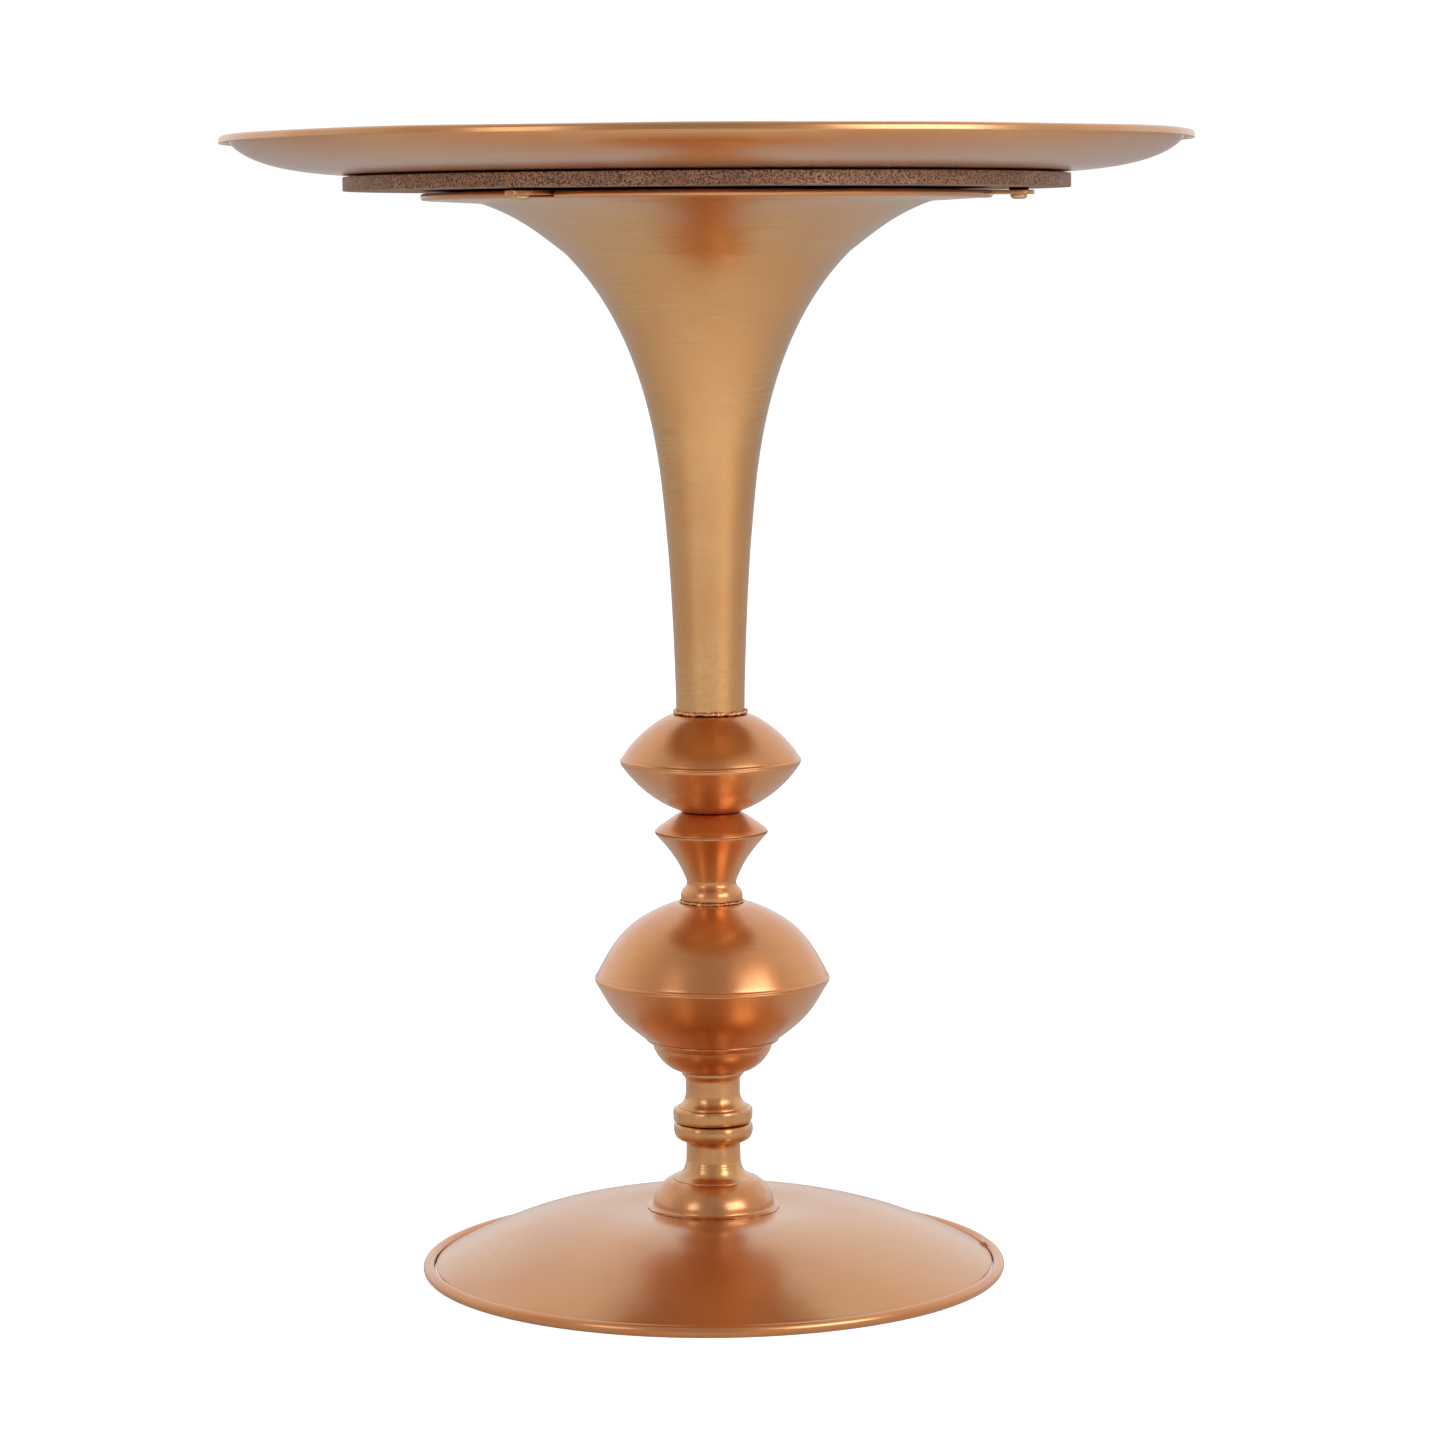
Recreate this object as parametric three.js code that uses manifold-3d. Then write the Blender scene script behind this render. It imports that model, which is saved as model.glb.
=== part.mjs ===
// A pedestal tray table in satin brass: a spun tray that lifts off a board, a spun trumpet under the
// board, two hollow bulbs with a spool between them, two cast collars, and a spun base with a rim ring.
// One tie rod clamps the column from the base to the throat of the trumpet.
// Units are millimetres, +Z is up, and the origin is on the floor at the middle of the base.
import * as THREE from "three";
import { mergeVertices } from "three/addons/utils/BufferGeometryUtils.js";
import Module from "manifold-3d";

const wasm = await Module();
wasm.setup();

// ---- Driving dimensions ----------------------------------------------------------------------
const TABLE_HEIGHT = 665.6;
const TRAY_RADIUS = 280;
const TRAY_FLOOR_RADIUS = 208;
const TRAY_DEPTH = 22.6; // underside of the floor to the top of the rim
const TRAY_SHEET = 1.4;

const PAD_RADIUS = 201;
const PAD_THICKNESS = 1.1;
const BOARD_RADIUS = 209.4;
const BOARD_THICKNESS = 8;
const SPACER_THICKNESS = 1.5;

const RIM_RADIUS = 165; // rolled rim of the trumpet
const RIM_ROLL = 2.05; // radius of the roll
const TRUMPET_FOOT_RADIUS = 20.05;
const TRUMPET_FOOT_Z = 332;

const UPPER_BULB_RADIUS = 53;
const UPPER_BULB_TOP_Z = 330.2;
const UPPER_BULB_SEAM_Z = 301.8;
const UPPER_BULB_BOTTOM_Z = 272.5;

const SPOOL_RADIUS = 33.1;
const SPOOL_SEAM_Z = 260.4;
const SPOOL_BOTTOM_Z = 219.4;

const LOWER_BULB_RADIUS = 69;
const LOWER_BULB_TOP_Z = 218.9;
const LOWER_BULB_SEAM_Z = 173.6;
const LOWER_BULB_BOTTOM_Z = 131;

const CUP_LIP_RADIUS = 39.6;
const CUP_BOTTOM_Z = 118.4;
const COLLAR_RADIUS = 23.5;
const COLLAR_JOINT_Z = 87.7;
const FOOT_TOP_Z = 56.2;
const FOOT_LIP_RADIUS = 41;

const DOME_TOP_Z = 37.1;
const DOME_FLAT_RADIUS = 42;
const DOME_EDGE_RADIUS = 164;
const DOME_EDGE_Z = 5.2;
const RING_RADIUS = 168.3; // centre line of the rim ring
const RING_WIRE = 3.45; // radius of its wire

const SHEET = 1.2; // spun sheet of the column and base
const ROD_RADIUS = 5; // M10
const ROD_HOLE = 5.6;
const ROD_BOTTOM_Z = 20;
const ROD_TOP_Z = 348;
const NUT_ACROSS_FLATS = 17;
const NUT_HEIGHT = 8;
const WASHER_RADIUS = 15;
const WASHER_THICKNESS = 2.5;
const PLATE_RADIUS = 34;
const PLATE_THICKNESS = 3;

const TAB_ANGLES = [-4, -124, 116]; // degrees about +Z, from +X
const TAB_WIDTH = 18;
const TAB_THICKNESS = 2.5;
const TAB_SCREW_RADIUS = 179.5; // from the table's axis to a screw
const TAB_INNER_RADIUS = 138;
const SCREW_SHANK = 2.5;
const SCREW_HOLE = 2.9;
const SCREW_HEAD = 4.85;
const SCREW_HEAD_HEIGHT = 2.8;

const WELD_ANGLE = 11.6; // degrees, the weld spot between base and rim ring
const GAP = 0.3; // clearance between neighbours
const SKIN = 0.05; // clearance above and below a flat piece in a stack

const WIDE_FACES = 48; // facets round the tray, board and base
const COLUMN_FACES = 28; // facets round the column
const SMALL_FACES = 16; // facets round screws, washers and the rod

const TRAY_Z = TABLE_HEIGHT - TRAY_DEPTH;
const BOARD_TOP_Z = TRAY_Z - PAD_THICKNESS;
const BOARD_Z = BOARD_TOP_Z - BOARD_THICKNESS;
const TAB_TOP_Z = BOARD_Z - SPACER_THICKNESS;
const TAB_Z = TAB_TOP_Z - TAB_THICKNESS;
const RIM_TOP_Z = TAB_TOP_Z;

// ---- Finishes --------------------------------------------------------------------------------
const FINISHES = {
  satin_brass: { color: 0xc78f5f, roughness: 0.36, metalness: 1 },
  cast_brass: { color: 0xcf9a66, roughness: 0.3, metalness: 1 },
  lacquered_board: { color: 0x6e4a34, roughness: 0.55, metalness: 0.1 },
  felt: { color: 0x141211, roughness: 0.95, metalness: 0 },
  brass_screw: { color: 0xb98a4e, roughness: 0.3, metalness: 1 },
  black_spacer: { color: 0x1a1614, roughness: 0.7, metalness: 0 },
  zinc_steel: { color: 0xa9a9a4, roughness: 0.45, metalness: 1 },
};

const table = new THREE.Group();

function place(name, finish, geometry) {
  const mesh = new THREE.Mesh(geometry, new THREE.MeshStandardMaterial(FINISHES[finish]));
  mesh.name = name;
  table.add(mesh);
  return mesh;
}

// ---- Outlines: points of radius and height ----------------------------------------------------
const at = (radius, z) => new THREE.Vector2(radius, z);

// A cubic curve through its two ends, cut into steps.
function bend(steps, start, pull, push, end) {
  return new THREE.CubicBezierCurve(start, pull, push, end).getPoints(steps);
}

// A round corner about a centre, from one angle to another in degrees.
function arc(steps, centre, radius, from, to) {
  const turn = THREE.MathUtils.degToRad;
  const curve = new THREE.EllipseCurve(
    centre.x, centre.y, radius, radius, turn(from), turn(to), to < from);
  return curve.getPoints(steps);
}

// The corners of an even polygon about a centre, the first at an angle in degrees.
function polygon(corners, centre, radius, first) {
  return arc(corners, centre, radius, first, first + 360).slice(0, -1);
}

// The same face moved to the left of its direction of travel, with mitred corners.
function offset(face, distance) {
  const normal = (a, b) => at(a.y - b.y, b.x - a.x).normalize();
  return face.map((point, i) => {
    const before = i > 0 ? normal(face[i - 1], point) : normal(point, face[i + 1]);
    const after = i < face.length - 1 ? normal(point, face[i + 1]) : before;
    const mitre = before.clone().add(after).multiplyScalar(distance / (1 + before.dot(after)));
    return point.clone().add(mitre);
  });
}

// The points without those that repeat the one before.
function distinct(points) {
  return points.filter((point, i) => i === 0 || point.distanceTo(points[i - 1]) > 1e-6);
}

// A sheet of even thickness: the face, and its copy on the left.
function sheet(points, thickness) {
  const face = distinct(points);
  return [...face, ...offset(face, thickness).reverse()];
}

// ---- Solids ----------------------------------------------------------------------------------
// An outline turned about +Z. It either ends on the axis or closes on itself.
function turned(outline, faces) {
  let points = distinct(outline);
  if (THREE.ShapeUtils.area(points) < 0) points = points.reverse();
  if (points[0].x > 0) points = [...points, points[0].clone()];
  return new THREE.LatheGeometry(points, faces).rotateX(Math.PI / 2);
}

// A ring or a bush with square edges.
function ring(inner, outer, bottom, top, faces) {
  return turned([at(inner, bottom), at(outer, bottom), at(outer, top), at(inner, top)], faces);
}

function solid(geometry) {
  const bare = geometry.clone();
  bare.deleteAttribute("normal");
  bare.deleteAttribute("uv");
  const merged = mergeVertices(bare, 1e-3);
  return new wasm.Manifold(new wasm.Mesh({
    numProp: 3,
    vertProperties: merged.attributes.position.array,
    triVerts: new Uint32Array(merged.index.array),
  }));
}

function geometryOf(body) {
  const mesh = body.getMesh();
  const geometry = new THREE.BufferGeometry();
  geometry.setAttribute("position", new THREE.BufferAttribute(mesh.vertProperties, 3));
  geometry.setIndex(new THREE.BufferAttribute(mesh.triVerts, 1));
  geometry.computeVertexNormals();
  return geometry;
}

// A geometry less each of the tools.
function cut(geometry, tools) {
  return geometryOf(tools.reduce((body, tool) => body.subtract(solid(tool)), solid(geometry)));
}

// A copy of a geometry made on +X, turned about +Z to an angle in degrees.
function turnTo(geometry, angle) {
  return geometry.clone().rotateZ(THREE.MathUtils.degToRad(angle));
}

// ---- Tray, pad and board ------------------------------------------------------------------------
// A flat floor, a wall that sweeps up, and a narrow flange whose edge is rolled down into a hook.
function trayOutline() {
  const wallTop = at(273.3, TABLE_HEIGHT - 4.6);
  const hook = at(TRAY_RADIUS - 2.7, TABLE_HEIGHT - TRAY_SHEET - 1);
  return sheet([
    at(0, TRAY_Z),
    ...bend(5, at(TRAY_FLOOR_RADIUS, TRAY_Z), at(236, TRAY_Z + 1.4), at(262, TRAY_Z + 5.5), wallTop),
    ...bend(2, wallTop, at(274, hook.y), at(275, hook.y + 1), at(hook.x - 0.6, hook.y + 1)),
    ...arc(2, hook, 1, 90, 0),
    at(hook.x + 1.2, hook.y - 1.6),
  ], TRAY_SHEET);
}

function boardWithPilotHoles() {
  const board = ring(0, BOARD_RADIUS, BOARD_Z, BOARD_TOP_Z, WIDE_FACES);
  const pilot = ring(0, SCREW_HOLE, BOARD_Z - 1, BOARD_TOP_Z - 1, SMALL_FACES);
  pilot.translate(TAB_SCREW_RADIUS, 0, 0);
  return cut(board, TAB_ANGLES.map((angle) => turnTo(pilot, angle)));
}

place("tray", "satin_brass", turned(trayOutline(), WIDE_FACES));
place("tray_pad", "felt", ring(0, PAD_RADIUS, BOARD_TOP_Z + SKIN, TRAY_Z - SKIN, WIDE_FACES));
place("mounting_board", "lacquered_board", boardWithPilotHoles());

// ---- Fixing tabs with their spacers and screws -----------------------------------------------------
// A strap that lies on the trumpet's flange, leaves it through a notch in the rim, and ends round.
function tabStrap() {
  const half = TAB_WIDTH / 2;
  const plan = new THREE.Shape();
  plan.moveTo(TAB_INNER_RADIUS, half);
  plan.lineTo(TAB_INNER_RADIUS, -half);
  plan.absarc(TAB_SCREW_RADIUS, 0, half, -Math.PI / 2, Math.PI / 2, false);
  const hole = new THREE.Path();
  hole.absarc(TAB_SCREW_RADIUS, 0, SCREW_HOLE, 0, 2 * Math.PI, true);
  plan.holes.push(hole);
  const blank = new THREE.ExtrudeGeometry(plan, { depth: 10, bevelEnabled: false, curveSegments: 6 });
  blank.translate(0, 0, TAB_Z - 5);

  const drop = 1.25; // how far the strap follows the flange down
  const bendRadius = 161;
  const side = new THREE.Shape([
    at(TAB_INNER_RADIUS - 1, TAB_Z - drop),
    at(bendRadius, TAB_Z),
    at(TAB_SCREW_RADIUS + TAB_WIDTH, TAB_Z),
    at(TAB_SCREW_RADIUS + TAB_WIDTH, TAB_TOP_Z),
    at(bendRadius, TAB_TOP_Z),
    at(TAB_INNER_RADIUS - 1, TAB_TOP_Z - drop),
  ]);
  const strip = new THREE.ExtrudeGeometry(side, { depth: 2 * TAB_WIDTH, bevelEnabled: false });
  strip.rotateX(Math.PI / 2).translate(0, TAB_WIDTH, 0);
  return geometryOf(solid(blank).intersect(solid(strip)));
}

// A pan head below the strap and a shank up into the board.
function tabScrew() {
  const head = TAB_Z - SKIN;
  const crown = head - SCREW_HEAD_HEIGHT;
  const tip = BOARD_TOP_Z - 1.5;
  return turned([
    at(0, crown),
    at(2.6, crown + 0.15),
    at(4.3, crown + 0.9),
    at(SCREW_HEAD, crown + 1.9),
    at(SCREW_HEAD, head),
    at(SCREW_SHANK, head),
    at(SCREW_SHANK, tip - 1),
    at(0, tip),
  ], SMALL_FACES).translate(TAB_SCREW_RADIUS, 0, 0);
}

const spacer = ring(SCREW_HOLE, 5.7, TAB_TOP_Z + SKIN, BOARD_Z - SKIN, SMALL_FACES);
spacer.translate(TAB_SCREW_RADIUS, 0, 0);
const strap = tabStrap();
const screw = tabScrew();
TAB_ANGLES.forEach((angle, i) => {
  place(`fixing_tab_${i + 1}`, "satin_brass", turnTo(strap, angle));
  place(`tab_screw_${i + 1}`, "brass_screw", turnTo(screw, angle));
  place(`tab_spacer_${i + 1}`, "black_spacer", turnTo(spacer, angle));
});

// ---- Trumpet -----------------------------------------------------------------------------------
// A short tube that opens into a bell and a nearly flat flange, with a rolled rim.
function trumpetOutline() {
  const roll = at(RIM_RADIUS - RIM_ROLL, RIM_TOP_Z - RIM_ROLL);
  return sheet([
    at(TRUMPET_FOOT_RADIUS, TRUMPET_FOOT_Z),
    ...bend(3, at(TRUMPET_FOOT_RADIUS, 341), at(21, 383), at(24.1, 427), at(28.1, 468.6)),
    ...bend(4, at(28.1, 468.6), at(34.3, 520.6), at(50.9, 566.7), at(82.5, 597.9)),
    ...bend(3, at(82.5, 597.9), at(98.1, 610.1), at(108.2, 618.3), at(127.3, 625.5)),
    at(131.5, 626.6),
    at(roll.x - 3, roll.y - RIM_ROLL - 0.1),
    ...arc(4, roll, RIM_ROLL, -90, 140),
  ], SHEET);
}

// The rolled rim is cut away where each tab leaves the trumpet.
function trumpetWithNotches() {
  const depth = 12;
  const notch = new THREE.BoxGeometry(depth, TAB_WIDTH + 3, depth);
  notch.translate(RIM_RADIUS - 5 + depth / 2, 0, RIM_TOP_Z);
  return cut(turned(trumpetOutline(), COLUMN_FACES), TAB_ANGLES.map((angle) => turnTo(notch, angle)));
}

// A small bead of braze round a joint.
function bead(radius, z, size) {
  return turned(polygon(5, at(radius, z), size, 0), COLUMN_FACES);
}

place("trumpet", "satin_brass", trumpetWithNotches());
place("trumpet_braze_bead", "cast_brass", bead(TRUMPET_FOOT_RADIUS + 1.35, TRUMPET_FOOT_Z - 0.6, 0.95));

// ---- Upper bulb: two spun halves -------------------------------------------------------------------
const upperBulbTop = sheet([
  at(UPPER_BULB_RADIUS, UPPER_BULB_SEAM_Z + GAP / 2),
  ...bend(4, at(UPPER_BULB_RADIUS, 302.6), at(48.3, 313.1), at(33.3, 325.6), at(23.5, 329.4)),
  at(ROD_HOLE, UPPER_BULB_TOP_Z),
], SHEET);
const upperBulbBottom = sheet([
  at(ROD_HOLE, UPPER_BULB_BOTTOM_Z),
  at(17.2, UPPER_BULB_BOTTOM_Z),
  ...bend(4, at(22, 274.8), at(34.9, 279.7), at(44.9, 289.7), at(UPPER_BULB_RADIUS, 301)),
  at(UPPER_BULB_RADIUS, UPPER_BULB_SEAM_Z - GAP / 2),
], SHEET);
place("upper_bulb_top", "satin_brass", turned(upperBulbTop, COLUMN_FACES));
place("upper_bulb_bottom", "satin_brass", turned(upperBulbBottom, COLUMN_FACES));

// ---- Spool: a shallow cap on a hollow cone with a waist and a bead -----------------------------------
const spoolCap = [
  at(ROD_HOLE, SPOOL_SEAM_Z + GAP / 2),
  at(SPOOL_RADIUS, SPOOL_SEAM_Z + GAP / 2),
  at(31, 263.1),
  at(21.4, 270),
  at(17.4, UPPER_BULB_BOTTOM_Z - GAP),
  at(ROD_HOLE, UPPER_BULB_BOTTOM_Z - GAP),
];
const spoolBody = [
  at(ROD_HOLE, SPOOL_BOTTOM_Z),
  at(17.5, SPOOL_BOTTOM_Z),
  at(18.15, 222.3),
  at(17.5, 225.9),
  at(15, 229.2),
  ...bend(4, at(14.2, 231.5), at(19.2, 243.2), at(24.5, 250.3), at(31.9, 258.2)),
  at(SPOOL_RADIUS, SPOOL_SEAM_Z - GAP / 2),
  at(28, SPOOL_SEAM_Z - GAP / 2),
  at(18, 246),
  at(ROD_HOLE, 240),
];
place("spool_cap", "satin_brass", turned(spoolCap, COLUMN_FACES));
place("spool_body", "satin_brass", turned(spoolBody, COLUMN_FACES));
place("spool_braze_bead", "cast_brass", bead(19, SPOOL_BOTTOM_Z + 0.75, 0.95));

// ---- Lower bulb: two spun halves, and the cup that it stands in ---------------------------------------
const lowerBulbTop = sheet([
  at(LOWER_BULB_RADIUS, LOWER_BULB_SEAM_Z + GAP / 2),
  ...bend(5, at(LOWER_BULB_RADIUS, 174.2), at(57.6, 197.3), at(50, 207.3), at(25.4, 217.3)),
  at(17, LOWER_BULB_TOP_Z),
  at(ROD_HOLE, LOWER_BULB_TOP_Z),
], SHEET);
const lowerBulbBottom = sheet([
  at(ROD_HOLE, LOWER_BULB_BOTTOM_Z),
  at(26, LOWER_BULB_BOTTOM_Z + 0.8),
  ...bend(5, at(39.7, 138.4), at(57, 151.7), at(58.9, 154.5), at(LOWER_BULB_RADIUS, 173)),
  at(LOWER_BULB_RADIUS, LOWER_BULB_SEAM_Z - GAP / 2),
], SHEET);
const cup = sheet([
  at(ROD_HOLE, CUP_BOTTOM_Z),
  at(18.6, CUP_BOTTOM_Z),
  ...bend(4, at(22.1, 119.6), at(25.1, 120.2), at(32.7, 125.5), at(35.4, 133.9)),
  at(36.6, 135.2),
  at(CUP_LIP_RADIUS, 136.7),
], SHEET);
place("lower_bulb_top", "satin_brass", turned(lowerBulbTop, COLUMN_FACES));
place("lower_bulb_bottom", "satin_brass", turned(lowerBulbBottom, COLUMN_FACES));
place("bulb_cup", "satin_brass", turned(cup, COLUMN_FACES));

// ---- The two cast collars and the foot ------------------------------------------------------------------
const neckTop = CUP_BOTTOM_Z - GAP;
const upperCollar = [
  at(ROD_HOLE, COLLAR_JOINT_Z + GAP / 2),
  at(22.3, COLLAR_JOINT_Z + GAP / 2),
  at(23.1, 89.6),
  at(COLLAR_RADIUS, 93),
  at(COLLAR_RADIUS, 95),
  at(22.7, 96.9),
  at(20.9, 98.4),
  at(17.3, 100.4),
  at(16.1, 103.6),
  at(16.1, 113.6),
  at(18.3, 117),
  at(18.3, neckTop),
  at(ROD_HOLE, neckTop),
];
const lowerCollar = [
  at(ROD_HOLE, FOOT_TOP_Z + GAP),
  at(22.6, FOOT_TOP_Z + GAP),
  at(20.6, 58.2),
  at(18.2, 59.6),
  at(16.4, 62.2),
  at(15.8, 73.4),
  at(16.3, 76.2),
  at(18.6, 77),
  at(22.3, 78.8),
  at(COLLAR_RADIUS, 81.8),
  at(23.4, 84.6),
  at(22.3, COLLAR_JOINT_Z - GAP / 2),
  at(ROD_HOLE, COLLAR_JOINT_Z - GAP / 2),
];
const footBottom = DOME_TOP_Z + GAP;
const foot = [
  at(24, footBottom),
  at(FOOT_LIP_RADIUS, footBottom),
  at(38.2, footBottom + 0.8),
  ...bend(4, at(36.2, 40), at(34.5, 44), at(29, 50.5), at(23.5, FOOT_TOP_Z)),
  at(ROD_HOLE, FOOT_TOP_Z),
  at(ROD_HOLE, FOOT_TOP_Z - 5),
  at(24, FOOT_TOP_Z - 8),
];
place("upper_collar", "cast_brass", turned(upperCollar, COLUMN_FACES));
place("lower_collar", "cast_brass", turned(lowerCollar, COLUMN_FACES));
place("foot", "cast_brass", turned(foot, COLUMN_FACES));

// ---- Base: a spun dome, the ring round its edge, and one weld spot ---------------------------------------
const dome = sheet([
  at(DOME_EDGE_RADIUS, DOME_EDGE_Z),
  ...bend(7, at(DOME_EDGE_RADIUS, DOME_EDGE_Z), at(90, 43.8), at(54, DOME_TOP_Z + 0.1),
    at(DOME_FLAT_RADIUS, DOME_TOP_Z)).slice(1),
  at(ROD_HOLE, DOME_TOP_Z),
], SHEET);
// An octagon that stands on one of its sides.
const ringSection = polygon(8, at(RING_RADIUS, RING_WIRE), RING_WIRE / Math.cos(Math.PI / 8), -112.5);

function weldSpot() {
  const spot = new THREE.SphereGeometry(1, 10, 6);
  spot.scale(0.95, 4.5, 0.95).translate(DOME_EDGE_RADIUS + 0.4, 0, DOME_EDGE_Z + 1.35);
  return turnTo(spot, WELD_ANGLE);
}

place("base_dome", "satin_brass", turned(dome, WIDE_FACES));
place("base_rim_ring", "satin_brass", turned(ringSection, WIDE_FACES));
place("rim_weld", "cast_brass", weldSpot());

// ---- The tie rod and what it clamps ------------------------------------------------------------------------
function nut(bottom) {
  const hexagon = new THREE.Shape();
  const corner = NUT_ACROSS_FLATS / 2 / Math.cos(Math.PI / 6);
  for (let i = 0; i < 6; i++) {
    const angle = (i * Math.PI) / 3;
    hexagon[i === 0 ? "moveTo" : "lineTo"](corner * Math.cos(angle), corner * Math.sin(angle));
  }
  const bore = new THREE.Path();
  bore.absarc(0, 0, ROD_HOLE, 0, 2 * Math.PI, true);
  hexagon.holes.push(bore);
  const block = new THREE.ExtrudeGeometry(hexagon, {
    depth: NUT_HEIGHT, bevelEnabled: false, curveSegments: SMALL_FACES / 2,
  });
  return block.translate(0, 0, bottom);
}

const washer = (bottom) => ring(ROD_HOLE, WASHER_RADIUS, bottom, bottom + WASHER_THICKNESS, SMALL_FACES);

const plateZ = DOME_TOP_Z - SHEET - GAP - PLATE_THICKNESS;
const baseWasherZ = plateZ - GAP - WASHER_THICKNESS;
const topWasherZ = UPPER_BULB_TOP_Z + GAP;
const rod = [
  at(0, ROD_BOTTOM_Z),
  at(ROD_RADIUS - 1, ROD_BOTTOM_Z),
  at(ROD_RADIUS, ROD_BOTTOM_Z + 1),
  at(ROD_RADIUS, ROD_TOP_Z - 1),
  at(ROD_RADIUS - 1, ROD_TOP_Z),
  at(0, ROD_TOP_Z),
];
place("tie_rod", "zinc_steel", turned(rod, SMALL_FACES));
place("top_washer", "zinc_steel", washer(topWasherZ));
place("top_nut", "zinc_steel", nut(topWasherZ + WASHER_THICKNESS + GAP));
place("stiffener_plate", "zinc_steel", ring(ROD_HOLE, PLATE_RADIUS, plateZ, plateZ + PLATE_THICKNESS, COLUMN_FACES));
place("base_washer", "zinc_steel", washer(baseWasherZ));
place("base_nut", "zinc_steel", nut(baseWasherZ - GAP - NUT_HEIGHT));

export default table;
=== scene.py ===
"""A pedestal tray table in satin, copper-toned brass: a spun tray that lifts off a felt-topped board,
a spun trumpet, two hollow bulbs with a spool between them, two cast collars and a spun base.

The scene is in metres, +Z up, with its origin on the floor at the middle of the base. Outlines are
pairs of radius and height in millimetres, the height counted from the bottom of the piece, and the
frame says where each piece stands.
"""

import math

import bpy
import numpy as np
from mathutils import Matrix, Vector


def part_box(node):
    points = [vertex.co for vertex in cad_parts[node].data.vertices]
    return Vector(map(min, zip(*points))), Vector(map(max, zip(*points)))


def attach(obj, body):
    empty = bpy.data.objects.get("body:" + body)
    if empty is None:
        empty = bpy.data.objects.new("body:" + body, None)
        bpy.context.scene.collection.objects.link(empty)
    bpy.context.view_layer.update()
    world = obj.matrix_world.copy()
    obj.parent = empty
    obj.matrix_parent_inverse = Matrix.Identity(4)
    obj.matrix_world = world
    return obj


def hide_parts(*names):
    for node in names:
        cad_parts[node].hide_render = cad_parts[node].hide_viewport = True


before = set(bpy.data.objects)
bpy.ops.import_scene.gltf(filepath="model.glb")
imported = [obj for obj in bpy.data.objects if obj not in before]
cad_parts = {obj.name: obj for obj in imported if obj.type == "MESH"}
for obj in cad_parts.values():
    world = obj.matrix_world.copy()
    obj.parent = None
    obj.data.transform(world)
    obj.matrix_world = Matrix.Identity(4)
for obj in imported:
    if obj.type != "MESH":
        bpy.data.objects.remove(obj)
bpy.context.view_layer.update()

MM = 0.001
WIDE_SIDES = 256  # points round the tray, the flange and the base
BOARD_SIDES = 1280  # enough for each fibre of its edge
COLUMN_SIDES = 160  # points round the column
SMALL_SIDES = 64  # points round screws, washers and the rod
SHEET = 1.2  # spun sheet of the column and base, mm
TRAY_SHEET = 1.4
SHARP_EDGE = 38  # degrees; a crease sharper than this stays crisp
UP = np.array([0, 0, 1.0])


# ---- Where things are, from the frame ----
def bottom_of(node):
    """The lowest height of a node, in millimetres."""
    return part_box(node)[0].z / MM


def top_of(node):
    """The highest height of a node, in millimetres."""
    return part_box(node)[1].z / MM


def height_of(node):
    """A node's own height, in millimetres."""
    return top_of(node) - bottom_of(node)


def middle_of(node):
    """The middle of a node's box, in millimetres."""
    low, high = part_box(node)
    return np.array((low + high) / 2) / MM


# ---- Outlines: arrays of (radius, height) ----
def line(*corners):
    """Straight runs through the corners."""
    return np.array(corners, float)


def spread(start, end, steps):
    """A straight run from start to end in even steps."""
    return np.linspace(start, end, steps + 1)


def bend(start, pull, push, end, steps=24):
    """Cubic curve: (1-t)^3 start + 3t(1-t)^2 pull + 3t^2(1-t) push + t^3 end, for t from 0 to 1."""
    t = np.linspace(0, 1, steps + 1)[:, None]
    a, b, c, d = map(np.array, (start, pull, push, end))
    return (1 - t) ** 3 * a + 3 * t * (1 - t) ** 2 * b + 3 * t * t * (1 - t) * c + t**3 * d


def arc(centre, radius, first, last, steps=12):
    """Part of a circle: centre + radius (cos a, sin a), for a from first to last in degrees."""
    a = np.radians(np.linspace(first, last, steps + 1))
    return np.array(centre) + radius * np.stack([np.cos(a), np.sin(a)], axis=1)


def chain(*runs):
    """Runs joined end to end, without the points that repeat."""
    points = np.concatenate(runs)
    step = np.linalg.norm(np.diff(points, axis=0), axis=1)
    return points[np.r_[True, step > 1e-4]]


def eased(corners, radius, steps=6):
    """A chain of straight lines whose inner corners are rounded. Each corner becomes the curve
    (1-t)^2 a + 2t(1-t) corner + t^2 b, where a and b lie on its two sides, radius away at most."""
    points = np.array(corners, float)
    sides = np.diff(points, axis=0)
    lengths = np.linalg.norm(sides, axis=1, keepdims=True)
    reach = np.minimum(radius, 0.48 * np.minimum(lengths[:-1], lengths[1:]))
    units = sides / lengths
    corner = points[1:-1]
    a = corner - units[:-1] * reach
    b = corner + units[1:] * reach
    t = np.linspace(0, 1, steps + 1)[None, :, None]
    rounds = (1 - t) ** 2 * a[:, None] + 2 * t * (1 - t) * corner[:, None] + t * t * b[:, None]
    return chain(points[:1], rounds.reshape(-1, 2), points[-1:])


def sheet(face, thickness):
    """A closed outline of even thickness: the face, its copy moved to the left of its travel, and a
    half circle round each end that isn't on the axis."""
    travel = np.gradient(face, axis=0)
    travel /= np.linalg.norm(travel, axis=1, keepdims=True)
    left = np.stack([-travel[:, 1], travel[:, 0]], axis=1)
    back = face + left * thickness
    half = thickness / 2
    turn = np.linspace(0, math.pi, 9)[1:-1, None]
    last = face[-1] + half * (left[-1] * (1 - np.cos(turn)) + travel[-1] * np.sin(turn))
    first = face[0] + half * (left[0] * (1 + np.cos(turn)) - travel[0] * np.sin(turn))
    if face[0, 0] < 1e-6:
        return chain(face, last, back[::-1])
    return chain(face, last, back[::-1], first)


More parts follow.
